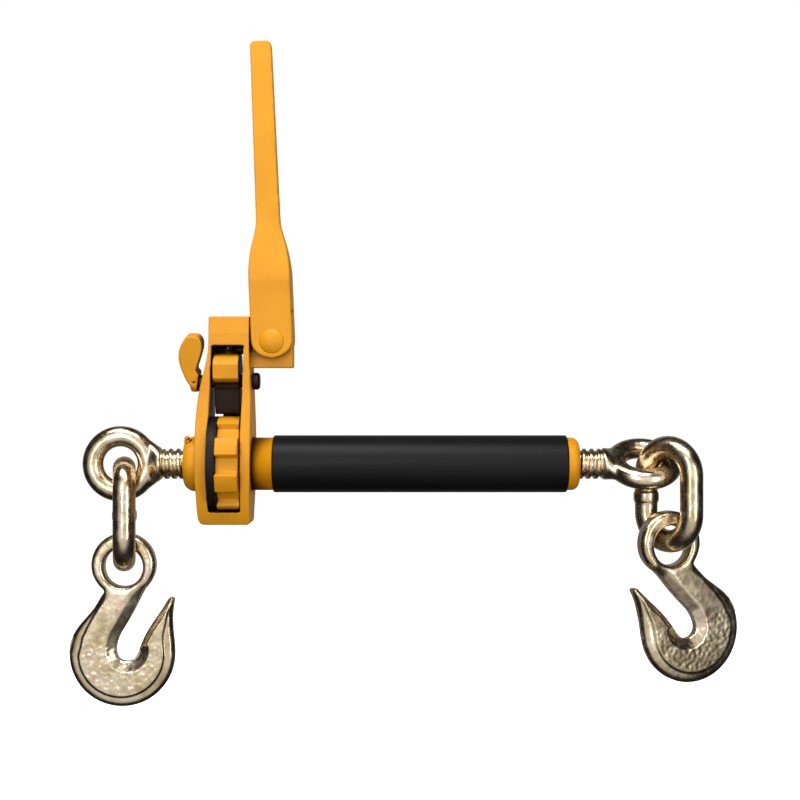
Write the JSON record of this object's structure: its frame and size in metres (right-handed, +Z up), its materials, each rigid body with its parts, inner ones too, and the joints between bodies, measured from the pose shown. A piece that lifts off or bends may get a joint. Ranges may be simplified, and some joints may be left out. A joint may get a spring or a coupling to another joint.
{
  "type": "ratchet load binder",
  "caption": "Ratchet load binder: a folding handle and pawl turn a threaded barrel that draws two eye bolts together; each eye carries a link and a grab hook.",
  "frame": {"origin": "on the barrel axis, half way along the grip sleeve", "axes": "+X along the barrel from the ratchet end to the plain end, +Z up along the raised handle, -Y towards the front, where the pin head is"},
  "size_m": [0.5347, 0.0802, 0.531],
  "materials": {
    "orange_paint": "semi-gloss yellow-orange enamel over a forging",
    "yellow_zinc": "bright zinc plating with a yellow chromate tint",
    "bright_steel": "plain plated steel",
    "dark_steel": "blackened, oily steel",
    "black_sleeve": "satin black plastic"
  },
  "bodies": {
    "housing": {"ratchet_housing": "orange_paint", "grease_nipple": "orange_paint"},
    "barrel": {"barrel_tube": "orange_paint", "ratchet_wheel": "orange_paint", "thrust_washer": "dark_steel", "wheel_key": "bright_steel", "grip_sleeve": "black_sleeve"},
    "handle": {"handle": "orange_paint", "handle_pin": "orange_paint", "handle_pin_washer": "orange_paint"},
    "pawl": {"pawl": "orange_paint", "pawl_shaft": "dark_steel", "pawl_lever": "orange_paint", "pawl_roll_pins": "orange_paint"},
    "plunger": {"detent_plunger": "bright_steel", "detent_spring": "bright_steel"},
    "left_eye": {"left_eye_bolt": "yellow_zinc"},
    "left_link": {"left_link": "yellow_zinc"},
    "left_hook": {"left_grab_hook": "yellow_zinc"},
    "right_eye": {"right_eye_bolt": "yellow_zinc"},
    "right_link": {"right_link": "yellow_zinc"},
    "right_hook": {"right_grab_hook": "yellow_zinc"}
  },
  "joints": [
    {"name": "barrel_spin", "type": "hinge", "parent": "housing", "child": "barrel", "pos_m": [0, 0, 0], "axis": [1, 0, 0], "range_deg": [-1080, 5040]},
    {"name": "handle_fold", "type": "hinge", "parent": "housing", "child": "handle", "pos_m": [-0.1172, 0, 0.0975], "axis": [0, 1, 0], "range_deg": [0, 95]},
    {"name": "pawl_rock", "type": "hinge", "parent": "housing", "child": "pawl", "pos_m": [-0.1524, 0, 0.066], "axis": [1, 0, 0], "range_deg": [-24, 0]},
    {"name": "plunger_slide", "type": "slide", "parent": "housing", "child": "plunger", "axis": [0, 0, 1], "range_m": [0, 0.0015], "stiffness_N_per_m": 800, "springref_m": -0.003, "deforming": ["detent_spring"]},
    {"name": "left_eye_slide", "type": "slide", "parent": "housing", "child": "left_eye", "axis": [-1, 0, 0], "range_m": [-0.0181, 0.0841]},
    {"name": "right_eye_slide", "type": "slide", "parent": "housing", "child": "right_eye", "axis": [1, 0, 0], "range_m": [-0.0181, 0.0841]},
    {"name": "left_link_swing", "type": "hinge", "parent": "left_eye", "child": "left_link", "pos_m": [-0.2395, 0, 0], "axis": [0, 1, 0], "range_deg": [-20, 90]},
    {"name": "left_hook_swing", "type": "hinge", "parent": "left_link", "child": "left_hook", "pos_m": [-0.2365, 0, -0.08215], "axis": [0, 1, 0], "range_deg": [-30, 60]},
    {"name": "right_link_swing", "type": "hinge", "parent": "right_eye", "child": "right_link", "pos_m": [0.1955, -0.0166, -0.0082], "axis": [0.7431, 0.6691, 0], "range_deg": [-75, 10]},
    {"name": "right_hook_swing", "type": "hinge", "parent": "right_link", "child": "right_hook", "pos_m": [0.19584, -0.01649, -0.06316], "axis": [-0.309, 0.9511, 0], "range_deg": [-60, 60]}
  ],
  "couplings": [
    {"joint": "left_eye_slide", "follows": "barrel_spin", "m_per_rad": 0.00095493},
    {"joint": "right_eye_slide", "follows": "barrel_spin", "m_per_rad": 0.00095493}
  ]
}
